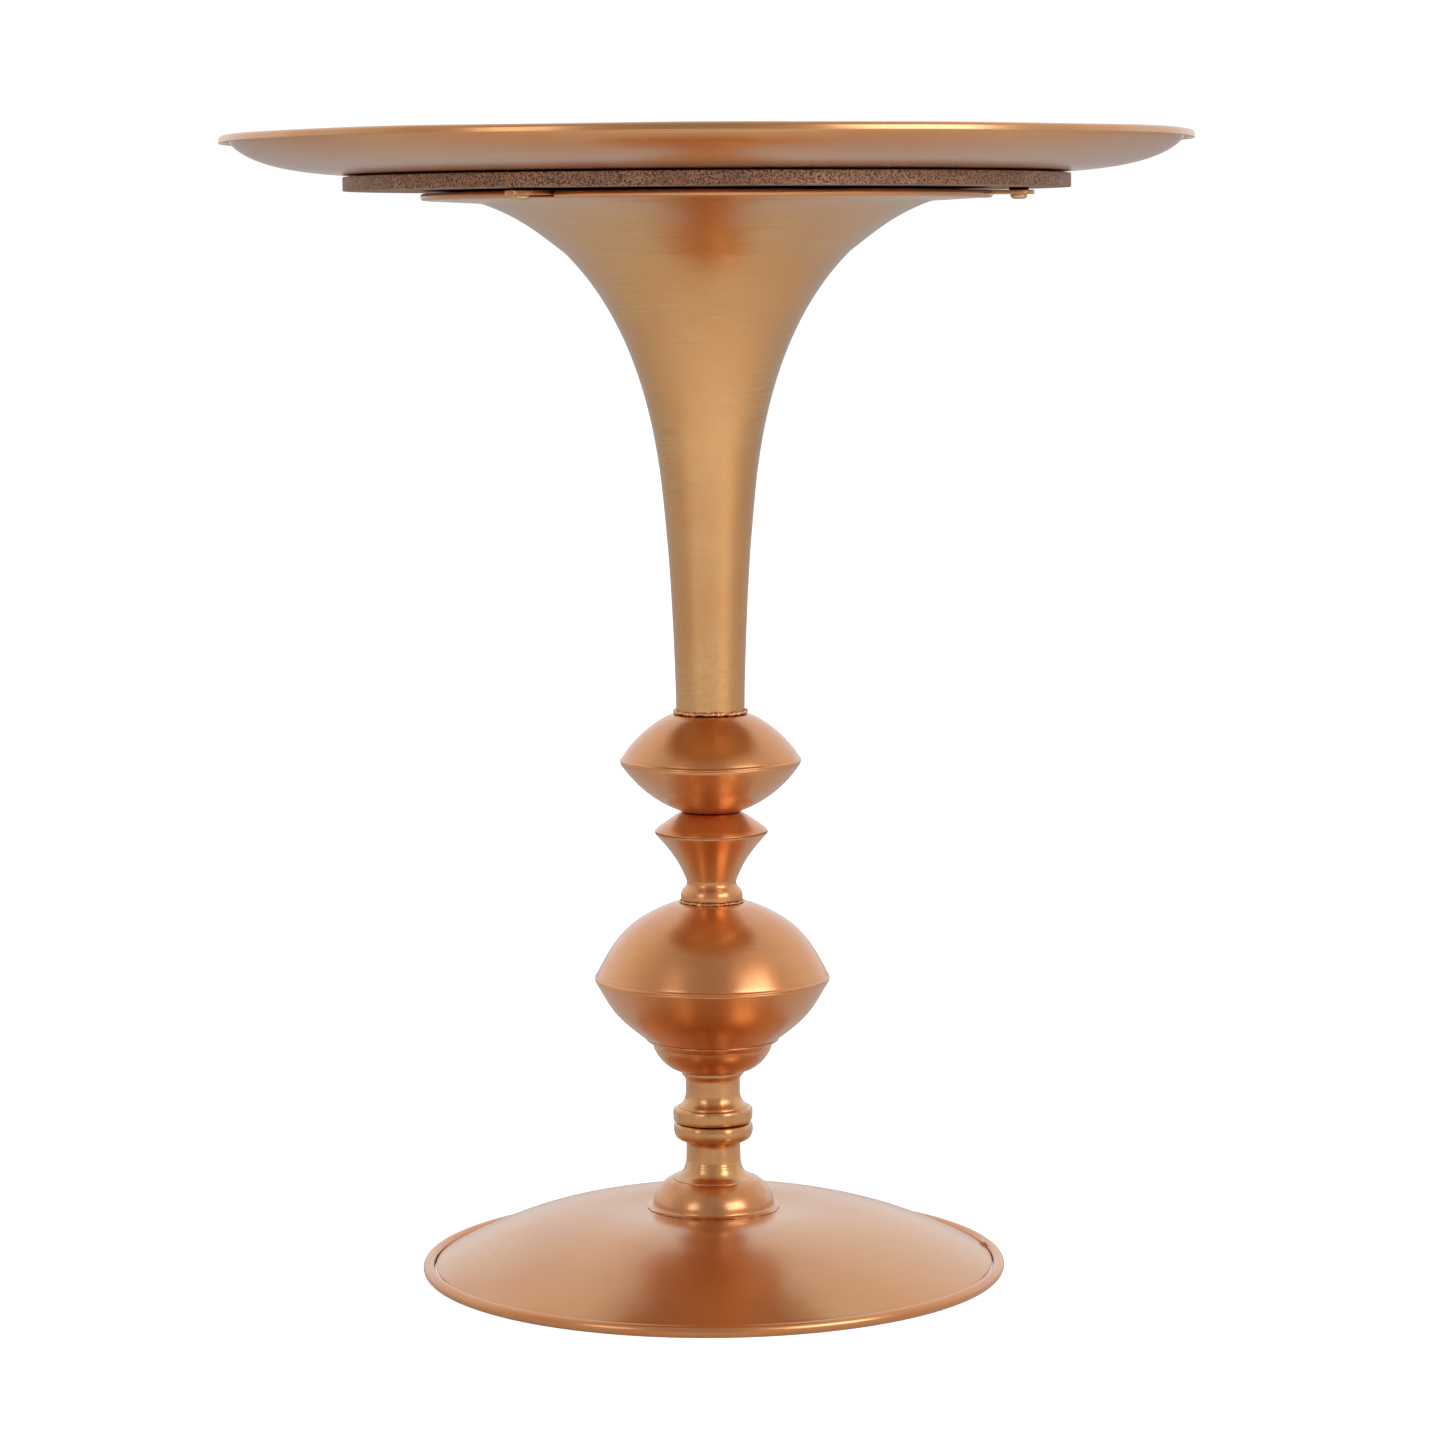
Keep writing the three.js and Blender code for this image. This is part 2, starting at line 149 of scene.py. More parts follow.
# ---- Unevenness: sums of a few sine waves round a piece ----
def waves(turn, counts, seed):
    """Sum of sin(k·turn + phase)/n over the counts k, with seeded phases: a smooth wave about zero."""
    phases = np.random.default_rng(seed).uniform(0, 2 * math.pi, len(counts))
    k = np.array(counts)[:, None]
    return np.sin(k * turn + phases[:, None]).sum(axis=0) / math.sqrt(len(counts))


def bump_at(turn, degrees, width):
    """A rounded hump, 1 high, at one place round a piece: exp(-(distance/width)^2), in degrees."""
    away = (np.degrees(turn) - degrees + 180) % 360 - 180
    return np.exp(-((away / width) ** 2))


# ---- Surfaces ----
def turned(outline, sides, lift=0.0, uneven=None):
    """Rings of points: the outline turned about +Z, (r cos a, r sin a, z). uneven(a, r, z) gives what
    is added to r and z."""
    turn = around(sides)
    radius = outline[:, :1] + 0 * turn
    height = outline[:, 1:] + 0 * turn
    if uneven:
        more_radius, more_height = uneven(turn, radius, height)
        radius, height = radius + more_radius, height + more_height
    return np.stack([radius * np.cos(turn), radius * np.sin(turn), height + lift], axis=-1)


def around(sides):
    """Even angles round a full turn, in radians."""
    return np.linspace(0, 2 * math.pi, sides, endpoint=False)


def circle(sides):
    """A circle of radius 1, as (x, y) points: (cos a, sin a)."""
    return np.stack([np.cos(around(sides)), np.sin(around(sides))], axis=1)


def outward(turn):
    """The direction away from the axis at each angle: (cos a, sin a, 0)."""
    return np.stack([np.cos(turn), np.sin(turn), 0 * turn], axis=-1)


def carried(section, path, side):
    """Rings of points: a section of (x, y) pairs carried along a path, point = path + x side + y up."""
    return path[:, None] + section[..., :1] * side[..., None, :] + section[..., 1:] * UP


def skin(name, rings, closed):
    """One closed mesh over rings of points, an array (rings, points in a ring, 3) in millimetres. A
    closed run joins its last ring to its first, and an open one is shut at each end by a fan. Its UV
    map, spin, holds the share of a turn and the metres run from the first ring."""
    middles = [rings[0].mean(axis=0), rings[-1].mean(axis=0)]
    if not closed:
        keep = np.ptp(rings, axis=1).max(axis=1) > 1e-6
        rings = rings[keep]
    count, sides = rings.shape[:2]
    ring = np.arange(count if closed else count - 1)
    point = np.arange(sides)
    i, j = np.meshgrid(ring, point, indexing="ij")
    next_i, next_j = (i + 1) % count, (j + 1) % sides
    quads = np.stack([i * sides + j, i * sides + next_j, next_i * sides + next_j, next_i * sides + j],
                     axis=-1).reshape(-1, 4)
    step = np.linalg.norm(rings - np.roll(rings, -1, axis=0), axis=2).mean(axis=1)
    run = np.r_[0, np.cumsum(step)] * MM
    u0, u1 = j / sides, (j + 1) / sides
    v0, v1 = run[i], run[i + 1]
    quad_uv = np.stack([u0, v0, u1, v0, u1, v1, u0, v1], axis=-1).reshape(-1, 2)

    points = rings.reshape(-1, 3)
    fans = np.zeros((0, 3), int)
    fan_uv = np.zeros((0, 2))
    if not closed:
        points = np.concatenate([points, middles])
        last = (count - 1) * sides
        nearer, further = point, (point + 1) % sides
        start = np.stack([further, nearer, 0 * point + len(points) - 2], axis=1)
        end = np.stack([last + nearer, last + further, 0 * point + len(points) - 1], axis=1)
        fans = np.concatenate([start, end])
        reach = [np.linalg.norm(rings[k] - middles[k], axis=1).mean() * MM for k in (0, -1)]
        u = point / sides
        start_uv = [u + 1 / sides, 0 * u, u, 0 * u, u, 0 * u - reach[0]]
        end_uv = [u, 0 * u + run[count - 1], u + 1 / sides, 0 * u + run[count - 1], u,
                  0 * u + run[count - 1] + reach[1]]
        fan_uv = np.concatenate([np.stack(uv, axis=1).reshape(-1, 2) for uv in (start_uv, end_uv)])

    triangles = np.concatenate([quads[:, [0, 1, 2]], quads[:, [0, 2, 3]], fans])
    a, b, c = (points[triangles[:, k]] for k in range(3))
    corners = [quads, fans]
    uvs = [quad_uv.reshape(-1, 4, 2), fan_uv.reshape(-1, 3, 2)]
    if (a * np.cross(b, c)).sum() < 0:
        corners = [faces[:, ::-1] for faces in corners]
        uvs = [uv[:, ::-1] for uv in uvs]

    mesh = bpy.data.meshes.new(name)
    mesh.vertices.add(len(points))
    mesh.vertices.foreach_set("co", (points * MM).ravel())
    sizes = np.r_[np.full(len(quads), 4), np.full(len(fans), 3)]
    mesh.loops.add(int(sizes.sum()))
    mesh.loops.foreach_set("vertex_index", np.concatenate([faces.ravel() for faces in corners]))
    mesh.polygons.add(len(sizes))
    mesh.polygons.foreach_set("loop_start", np.r_[0, np.cumsum(sizes)[:-1]])
    mesh.polygons.foreach_set("loop_total", sizes)
    mesh.update(calc_edges=True)
    layer = mesh.uv_layers.new(name="spin")
    layer.data.foreach_set("uv", np.concatenate([uv.ravel() for uv in uvs]))
    mesh.shade_smooth()
    mesh.set_sharp_from_angle(angle=math.radians(SHARP_EDGE))
    return mesh


def piece(name, rings, closed, finish, nodes=(), body="stand"):
    """An object over the rings, in its finish, that rides a body and stands for CAD nodes."""
    made = bpy.data.objects.new(name, skin(name, rings, closed))
    made.data.materials.append(finish)
    bpy.context.scene.collection.objects.link(made)
    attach(made, body)
    if nodes:
        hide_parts(*nodes)


# ---- Material tools ----
def colour(code):
    """An sRGB hex code as linear red, green, blue and alpha."""
    parts = np.array([int(code[k:k + 2], 16) for k in (0, 2, 4)]) / 255
    linear = np.where(parts <= 0.04045, parts / 12.92, ((parts + 0.055) / 1.055) ** 2.4)
    return (*linear.tolist(), 1.0)


def per(size):
    """A pattern scale, in repeats per metre, from the size of one repeat in millimetres."""
    return 1 / (size * MM)


def add(tree, kind, inputs=(), **settings):
    """Adds a shader node. settings are its own properties. inputs are its sockets, by name or in
    order, and each is a value, an output, or a node whose first output is meant."""
    made = tree.nodes.new("ShaderNode" + kind)
    for key, value in settings.items():
        setattr(made, key, value)
    for key, value in inputs.items() if isinstance(inputs, dict) else enumerate(inputs):
        if isinstance(value, bpy.types.Node):
            value = value.outputs[0]
        if isinstance(value, bpy.types.NodeSocket):
            tree.links.new(value, made.inputs[key])
        else:
            made.inputs[key].default_value = value
    return made


def new_material(name, surface, *choices):
    """A node material. Its surface function lays the nodes and returns the last one, a shader."""
    made = bpy.data.materials.new(name)
    made.use_nodes = True
    tree = made.node_tree
    tree.nodes.clear()
    add(tree, "OutputMaterial", {"Surface": surface(tree, *choices)})
    return made


# ---- Finishes ----
# A Map Range node takes, in order: a value, the range it is read in, and the range it is given.
# A Mix node of colours takes its share at 0 and its two colours at 6 and 7, and gives its output 2.
def washed_brass(tree, wash, share, rough, coat_rough, normal):
    """Brass under a copper-coloured wash and clear satin lacquer. The wash is a metal pigment, so it
    mirrors the room dimly in copper; the brass that shows between its grains mirrors it more sharply
    in gold; the lacquer adds a white sheen where light grazes it."""
    around = add(tree, "Tangent", direction_type="RADIAL", axis="Z")
    shared = {"Metallic": 1.0, "Anisotropic Rotation": 0.25, "Tangent": around, "Coat Weight": 1.0,
              "Coat IOR": 1.45, "Coat Roughness": coat_rough, "Normal": normal, "Coat Normal": normal}
    pigment = add(tree, "BsdfPrincipled",
                  {"Base Color": wash, "Roughness": 0.37, "Anisotropic": 0.3, **shared})
    metal = add(tree, "BsdfPrincipled",
                {"Base Color": colour("F2DDA2"), "Roughness": rough, "Anisotropic": 0.4, **shared})
    return add(tree, "MixShader", [share, pigment, metal])


def spun_brass(tree, wash_codes, bare_share, ring_depth, streaks):
    """Spun brass with a copper wash, satin-lacquered. The tool leaves fine rings round the axis, which
    stretch each reflection along the outline; the wash is worn thinner in patches, so those are more
    golden; the sheet is slightly uneven, so wide reflections wander. ring_depth is in millimetres;
    streaks says how much of the wash the rings rub off."""
    place = add(tree, "TexCoord").outputs["Object"]
    spin = add(tree, "UVMap", uv_map="spin")
    # Turning lines are about 0.3 mm apart; they are drawn at 1.2 mm so that they show. Each one runs
    # for about a twelfth of a turn.
    ring_place = add(tree, "Mapping", {"Vector": spin, "Scale": (12, per(1.2), 1)})
    rings = add(tree, "TexNoise", {"Vector": ring_place, "Scale": 1.0, "Detail": 2.0},
                noise_dimensions="2D")
    rubbed = add(tree, "Math", [rings, 0.5], operation="SUBTRACT")
    # Hand pressure makes the lines strong in some patches, 60 mm across, and faint in others.
    patches = add(tree, "TexNoise", {"Vector": place, "Scale": per(60), "Detail": 1.0})
    press = add(tree, "MapRange", [patches, 0.4, 0.7, 0.1, 1.0])
    ring_height = add(tree, "Math", [rubbed, press], operation="MULTIPLY")
    # The sheet's own waviness, 45 mm from dent to dent.
    dents = add(tree, "TexNoise", {"Vector": place, "Scale": per(45), "Detail": 2.0})
    # Lacquer grain of 0.5 mm, drawn at 1 mm so that it shows.
    grain = add(tree, "TexNoise", {"Vector": place, "Scale": per(1.0), "Detail": 3.0})
    wavy = add(tree, "Bump", {"Height": dents, "Strength": 0.5, "Distance": 0.7 * MM})
    grained = add(tree, "Bump", {"Height": grain, "Strength": 0.35, "Distance": 0.04 * MM, "Normal": wavy})
    lined = add(tree, "Bump", {"Height": ring_height, "Strength": 0.5, "Distance": ring_depth * MM,
                               "Normal": grained})
    # The wash is a little redder where it lies thicker.
    tint = add(tree, "TexNoise", {"Vector": place, "Scale": per(90), "Detail": 3.0})
    tint_share = add(tree, "MapRange", [tint, 0.35, 0.65])
    wash = add(tree, "Mix", {0: tint_share, 6: colour(wash_codes[0]), 7: colour(wash_codes[1])},
               data_type="RGBA")
    # Specks of dust and pinholes in the lacquer, one or two to the square centimetre.
    specks = add(tree, "TexVoronoi", {"Vector": place, "Scale": per(9)})
    speck = add(tree, "MapRange", [specks, 0.02, 0.05, 0.5, 0.0])
    speckled = add(tree, "Mix", {0: speck, 6: wash.outputs[2], 7: colour("7A4522")}, data_type="RGBA")
    rough = add(tree, "MapRange", [tint, 0.3, 0.7, 0.21, 0.27])
    worn = add(tree, "MapRange", [patches, 0.35, 0.65, bare_share - 0.04, bare_share + 0.04])
    share = add(tree, "Math", [ring_height, streaks, worn], operation="MULTIPLY_ADD")
    return washed_brass(tree, speckled.outputs[2], share, rough, 0.25, lined)


def cast_brass(tree, wash_codes, bare_share):
    """Sand-cast brass, filed, washed and lacquered like the spun parts. It is glossier on its worn
    rounds, and the sand leaves shallow pits in clusters, where the wash collects."""
    place = add(tree, "TexCoord").outputs["Object"]
    spin = add(tree, "UVMap", uv_map="spin")
    run = add(tree, "SeparateXYZ", [spin])
    ring_place = add(tree, "Math", [run.outputs[1], per(1.1)], operation="MULTIPLY")
    rings = add(tree, "TexNoise", {"W": ring_place, "Scale": 1.0, "Detail": 2.0}, noise_dimensions="1D")
    # Sand grains of 0.4 mm, drawn at 1 mm so that they show, in clusters 14 mm across.
    sand = add(tree, "TexVoronoi", {"Vector": place, "Scale": per(1.0)}, feature="SMOOTH_F1")
    clusters = add(tree, "TexNoise", {"Vector": place, "Scale": per(14), "Detail": 2.0})
    pitted_share = add(tree, "MapRange", [clusters, 0.5, 0.62, 0.1, 1.0])
    pit = add(tree, "Math", [sand, pitted_share], operation="MULTIPLY")
    soft = add(tree, "TexNoise", {"Vector": place, "Scale": per(9), "Detail": 2.0})
    wavy = add(tree, "Bump", {"Height": soft, "Strength": 0.4, "Distance": 0.2 * MM})
    pitted = add(tree, "Bump", {"Height": pit, "Strength": 0.4, "Distance": 0.06 * MM, "Normal": wavy})
    lined = add(tree, "Bump", {"Height": rings, "Strength": 0.5, "Distance": 0.02 * MM, "Normal": pitted})
    wash = add(tree, "Mix", {0: pit, 6: colour(wash_codes[0]), 7: colour(wash_codes[1])}, data_type="RGBA")
    bare = add(tree, "MapRange", [soft, 0.35, 0.65, bare_share - 0.04, bare_share + 0.04])
    rough = add(tree, "MapRange", [clusters, 0.3, 0.7, 0.22, 0.3])
    return washed_brass(tree, wash.outputs[2], bare, rough, 0.2, lined)


def braze(tree):
    """Brazing alloy left as it froze, paler and glossier than the sheet, with ripples."""
    place = add(tree, "TexCoord").outputs["Object"]
    ripples = add(tree, "TexNoise", {"Vector": place, "Scale": per(2.2), "Detail": 3.0})
    rough_skin = add(tree, "Bump", {"Height": ripples, "Strength": 0.8, "Distance": 0.25 * MM})
    metal = add(tree, "Mix", {0: ripples, 6: colour("C98A55"), 7: colour("EBBE8C")}, data_type="RGBA")
    return add(tree, "BsdfPrincipled", {
        "Base Color": metal.outputs[2], "Metallic": 1.0, "Roughness": 0.28, "Coat Weight": 0.6,
        "Coat Roughness": 0.15, "Normal": rough_skin})


def lacquered_board(tree):
    """Fibreboard sprayed with bronze lacquer. The sawn edge soaks it up, so it is brown, dull and
    speckled with pale fibres, and the metal flakes catch light here and there."""
    place = add(tree, "TexCoord").outputs["Object"]
    # Fibre bundles are 0.5 mm; they are drawn at 1.1 mm so that they show.
    fibres = add(tree, "TexNoise", {"Vector": place, "Scale": per(1.1), "Detail": 2.0, "Roughness": 0.6})
    cloud = add(tree, "TexNoise", {"Vector": place, "Scale": per(18), "Detail": 3.0})
    fibre_share = add(tree, "MapRange", [fibres, 0.4, 0.58])
    speckle = add(tree, "Mix", {0: fibre_share, 6: colour("3A2618"), 7: colour("B98B6C")}, data_type="RGBA")
    cloud_share = add(tree, "MapRange", [cloud, 0.35, 0.7, 0.0, 0.45])
    shade = add(tree, "Mix", {0: cloud_share, 6: speckle.outputs[2], 7: colour("6E4B38")}, data_type="RGBA")
    rough_skin = add(tree, "Bump", {"Height": fibres, "Strength": 0.7, "Distance": 0.3 * MM})
    flakes = add(tree, "MapRange", [fibres, 0.45, 0.7, 0.15, 0.75])
    return add(tree, "BsdfPrincipled", {
        "Base Color": shade.outputs[2], "Metallic": flakes, "Roughness": 0.5, "Normal": rough_skin})


def wool_felt(tree):
    """Pressed black wool felt: no gloss, a short nap that greys the surface where light grazes it."""
    place = add(tree, "TexCoord").outputs["Object"]
    nap = add(tree, "TexNoise", {"Vector": place, "Scale": per(1.5), "Detail": 6.0, "Roughness": 0.75})
    wool = add(tree, "Mix", {0: nap, 6: colour("090807"), 7: colour("231F1C")}, data_type="RGBA")
    fuzz = add(tree, "Bump", {"Height": nap, "Strength": 0.8, "Distance": 0.3 * MM})
    return add(tree, "BsdfPrincipled", {
        "Base Color": wool.outputs[2], "Roughness": 0.95, "Sheen Weight": 0.12, "Sheen Roughness": 0.6,
        "Normal": fuzz})


def yellow_steel(tree):
    """Screw steel with a yellow passivated zinc plate: a pale gold with a green and rose cast."""
    place = add(tree, "TexCoord").outputs["Object"]
    cast = add(tree, "TexNoise", {"Vector": place, "Scale": per(3), "Detail": 2.0})
    metal = add(tree, "Mix", {0: cast, 6: colour("CDB98A"), 7: colour("D8B684")}, data_type="RGBA")
    nicks = add(tree, "Bump", {"Height": cast, "Strength": 0.3, "Distance": 0.1 * MM})
    return add(tree, "BsdfPrincipled", {
        "Base Color": metal.outputs[2], "Metallic": 1.0, "Roughness": 0.33, "Normal": nicks})


def rubber(tree):
    """Moulded black rubber: dark, slightly shiny, with a grey bloom."""
    place = add(tree, "TexCoord").outputs["Object"]
    bloom = add(tree, "TexNoise", {"Vector": place, "Scale": per(4), "Detail": 3.0})
    black = add(tree, "Mix", {0: bloom, 6: colour("0B0A09"), 7: colour("2A2724")}, data_type="RGBA")
    return add(tree, "BsdfPrincipled", {"Base Color": black.outputs[2], "Roughness": 0.6})


def zinc_steel(tree):
    """Steel with a dull zinc plate: grey, spangled in patches a few millimetres wide, and scuffed."""
    place = add(tree, "TexCoord").outputs["Object"]
    spangle = add(tree, "TexVoronoi", {"Vector": place, "Scale": per(5)})
    scuffs = add(tree, "TexNoise", {"Vector": place, "Scale": per(2), "Detail": 4.0})
    metal = add(tree, "Mix", {0: spangle, 6: colour("B4B5B2"), 7: colour("8F918F")}, data_type="RGBA")
    rough = add(tree, "MapRange", [scuffs, 0.3, 0.7, 0.34, 0.55])
    worn = add(tree, "Bump", {"Height": scuffs, "Strength": 0.3, "Distance": 0.08 * MM})
    return add(tree, "BsdfPrincipled", {
        "Base Color": metal.outputs[2], "Metallic": 1.0, "Roughness": rough, "Normal": worn})


SPUN = new_material("spun_brass_copper_wash", spun_brass, ("CC6A27", "D67831"), 0.21, 0.015, 0.3)
GOLDEN = new_material("spun_brass_thin_wash", spun_brass, ("CA7D3B", "D58C49"), 0.27, 0.025, 0.6)
PALE = new_material("spun_brass_even_wash", spun_brass, ("C46F34", "CE7C42"), 0.23, 0.006, 0.25)
FORMED = new_material("formed_brass_copper_wash", spun_brass, ("C96929", "D37633"), 0.21, 0.0005, 0.05)
CAST = new_material("cast_brass_thin_wash", cast_brass, ("D27A32", "A85822"), 0.27)
CAST_FOOT = new_material("cast_brass_copper_wash", cast_brass, ("CE702C", "A85522"), 0.22)
BRAZE = new_material("braze_as_frozen", braze)
BOARD = new_material("fibreboard_bronze_lacquer", lacquered_board)
FELT = new_material("black_wool_felt", wool_felt)
YELLOW = new_material("yellow_zinc_steel", yellow_steel)
RUBBER = new_material("black_rubber_bush", rubber)
ZINC = new_material("zinc_plated_steel", zinc_steel)


# ---- Tray, felt and board ----
def tray():
    """Flat floor, a wall that sweeps up, and a flange whose edge is rolled down into a hook."""
    hook = np.array([277.3, 20.2])  # the middle of the rolled edge
    face = chain(
        spread((0, 0), (208, 0), 16),
        bend((208, 0), (236, 1.4), (262, 5.5), (273.3, 18), 40),
        bend((273.3, 18), (274, hook[1]), (275, hook[1] + 1), (hook[0] - 0.6, hook[1] + 1), 10),
        arc(hook, 1, 90, 0, 8),
        line(hook + (1.2, -1.6)),
    )

    def rim(turn, radius, height):
        """The rim is a hand-finished circle: it strays most at the edge."""
        share = np.clip((radius - 200) / 80, 0, 1) ** 2
        return share * 0.18 * waves(turn, (2, 3, 5), 1), share * 0.22 * waves(turn, (2, 3, 7, 11), 2)

    outline = sheet(face, TRAY_SHEET)
    piece("tray_finished", turned(outline, WIDE_SIDES, bottom_of("tray"), rim), False, PALE,
          ["tray"], "tray")


def tray_pad():
    """A felt disc under the tray, cut by hand."""
    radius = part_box("tray_pad")[1].x / MM
    thick = height_of("tray_pad")
    outline = chain(line((0, 0), (radius * 0.5, 0)),
                    eased([(radius * 0.97, 0), (radius, 0), (radius, thick), (radius * 0.97, thick)], 0.4),
                    line((radius * 0.5, thick), (0, thick)))

    def cut_edge(turn, radius_here, height):
        """Scissors leave the edge 0.5 mm out here and there."""
        edge = radius_here > radius - 1
        return edge * 0.5 * waves(turn, (7, 23, 61, 113), 3), 0 * height

    piece("felt_pad", turned(outline, WIDE_SIDES, bottom_of("tray_pad"), cut_edge), False, FELT,
          ["tray_pad"])


def mounting_board():
    """A round board with eased edges. Its sawn edge is stippled by raised fibres about 1 mm wide."""
    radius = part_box("mounting_board")[1].x / MM
    thick = height_of("mounting_board")
    outline = chain(line((0, 0), (radius * 0.5, 0)),
                    eased([(radius - 6, 0), (radius, 0), (radius, 1.2)], 0.7),
                    spread((radius, 1.2), (radius, thick - 1.2), 10),
                    eased([(radius, thick - 1.2), (radius, thick), (radius - 6, thick)], 0.7),
                    line((radius * 0.5, thick), (0, thick)))
    random = np.random.default_rng(4)

    def stipple(turn, radius_here, height):
        """Seeded fibres and pits, on the sawn edge only."""
        edge = radius_here > radius - 0.4
        return edge * random.uniform(-0.09, 0.06, height.shape), 0 * height

    piece("board", turned(outline, BOARD_SIDES, bottom_of("mounting_board"), stipple), False, BOARD,
          ["mounting_board"])


# ---- Tabs, screws and spacers ----
SCREW_RADIUS = 179.5  # from the table's axis to a screw
TAB_HALF = 9.0  # half a tab's width
TAB_INNER = 138.0  # where a tab starts and where it bends, from the axis
TAB_BEND = 161.0
TAB_THICK = 2.5
TAB_CORNER = 0.45  # radius of a tab's edges
TAB_DROP = 1.25  # how far a tab's inner end follows the flange down
TAB_ABOVE_SCREW = 2.85  # from the bottom of a screw's head to the underside of its tab


def tab_angle(k):
    """The direction of tab k, in radians, from where its screw stands."""
    place = middle_of(f"tab_screw_{k}")
    return math.atan2(place[1], place[0])


def fixing_tab(k):
    """A steel strap. A rounded oblong is carried outwards along the strap, and its width closes to a
    half circle round the screw: half width = sqrt(9^2 - (s - 179.5)^2) past the screw."""
    angle = tab_angle(k)
    out = np.array([math.cos(angle), math.sin(angle), 0])
    across = np.array([-math.sin(angle), math.cos(angle), 0])
    turn = np.linspace(0, math.pi / 2, 17)
    along = np.r_[np.linspace(TAB_INNER, TAB_INNER + 0.5, 4), np.linspace(140, 158, 8),
                  np.linspace(159, 163, 9), np.linspace(164, SCREW_RADIUS - 0.5, 6),
                  SCREW_RADIUS + TAB_HALF * np.sin(turn)]
    past = np.clip(along - SCREW_RADIUS, 0, TAB_HALF)
    half = np.sqrt(TAB_HALF**2 - past**2 + 1e-9)
    start = np.clip((along - TAB_INNER) / 0.5, 0, 1)
    half = half - 0.5 * (1 - np.sqrt(1 - (1 - start) ** 2))
    fall = -TAB_DROP * np.clip((TAB_BEND - along) / (TAB_BEND - TAB_INNER), 0, 1) ** 1.1
    thick = TAB_THICK / 2
    quarter = np.radians(np.linspace(0, 90, 6))
    ease = np.stack([np.cos(quarter), np.sin(quarter)], axis=1)
    right = np.clip(half - TAB_CORNER, 0, None)[:, None]
    reach = np.minimum(half, TAB_CORNER)[:, None]
    x = right + reach * ease[:, 0]
    y = (thick - TAB_CORNER) + TAB_CORNER * ease[:, 1] + 0 * x
    section = np.concatenate([np.stack([x, y], -1), np.stack([-x, y], -1)[:, ::-1],
                              np.stack([-x, -y], -1), np.stack([x, -y], -1)[:, ::-1]], axis=1)
    mid = bottom_of(f"tab_screw_{k}") + TAB_ABOVE_SCREW + thick
    path = along[:, None] * out + np.stack([0 * along, 0 * along, mid + fall], axis=1)
    rings = carried(section, path, across)
    piece(f"tab_{k}", rings, False, FORMED, [f"fixing_tab_{k}"])


def tab_screw(k):
    """A pan head with a cross recess, and its shank. The recess sinks the head by
    depth · s(arm - nearer coordinate) · s(length - further coordinate), where s is a smooth step."""
    node = f"tab_screw_{k}"
    place = middle_of(node)
    length = height_of(node)
    head, neck = 4.85, 2.5
    outline = chain(
        spread((0, 0), (2.6, 0.12), 22),
        bend((2.6, 0.12), (3.8, 0.3), (head, 0.9), (head, 2.0), 12),
        eased([(head, 2.0), (head, 2.75), (neck, 2.75), (neck, length - 1), (0, length)], 0.2),
    )

    def recess(turn, radius, height):
        """The cross, which stands 0.4 radians round from the axes."""
        x, y = np.abs(radius * np.cos(turn + 0.4)), np.abs(radius * np.sin(turn + 0.4))
        near, far = np.minimum(x, y), np.maximum(x, y)
        arm = np.clip((0.6 - near) / 0.25, 0, 1) * np.clip((2.4 - far) / 0.5, 0, 1)
        return 0 * radius, 1.3 * arm * arm * (3 - 2 * arm) * (height < 0.2)

    rings = turned(outline, SMALL_SIDES, bottom_of(node), recess) + (place[0], place[1], 0)
    piece(f"screw_{k}", rings, False, YELLOW, [node])


def tab_spacer(k):
    """A rubber bush squeezed between tab and board, so its side bulges."""
    node = f"tab_spacer_{k}"
    place = middle_of(node)
    high = height_of(node)
    outline = chain(line((2.9, 0), (5.4, 0)),
                    bend((5.4, 0), (6.0, high * 0.3), (6.0, high * 0.7), (5.4, high), 8),
                    line((2.9, high), (2.9, 0)))[:-1]
    rings = turned(outline, SMALL_SIDES, bottom_of(node)) + (place[0], place[1], 0)
    piece(f"spacer_{k}", rings, True, RUBBER, [node])


# ---- Trumpet ----
RIM_ROLL = 2.05  # radius of the rolled rim
ROLL_CENTRE = 162.95  # from the axis to the middle of the roll
ROLL_END = 0.9  # length of the rounding at the ends of the roll
NOTCH_HALF = 10.5  # half the width of the gap in the rim at a tab


def trumpet():
    """A short tube that opens into a bell and a nearly flat flange."""
    face = chain(
        bend((20.05, 0), (20.05, 9), (21, 51), (24.1, 95), 24),
        bend((24.1, 95), (25.5, 110), (26.6, 124), (28.1, 136.6), 12),
        bend((28.1, 136.6), (34.3, 188.6), (50.9, 234.7), (82.5, 265.9), 50),
        bend((82.5, 265.9), (98.1, 278.1), (108.2, 286.3), (127.3, 293.5), 24),
        bend((127.3, 293.5), (130, 294.5), (131, 294.6), (134, 294.8), 6),
        spread((134, 294.8), (161.2, 296.25), 8),
    )

    def sway(turn, radius, height):
        """The tube is a little out of round, and the flange not quite flat."""
        share = np.clip((radius - 90) / 70, 0, 1)
        return 0.12 * waves(turn, (2, 3), 5) * (radius / 60), share * 0.25 * waves(turn, (2, 3, 5), 6)

    rings = turned(sheet(face, SHEET), 192, bottom_of("trumpet"), sway)
    piece("trumpet_finished", rings, True, GOLDEN, ["trumpet"])


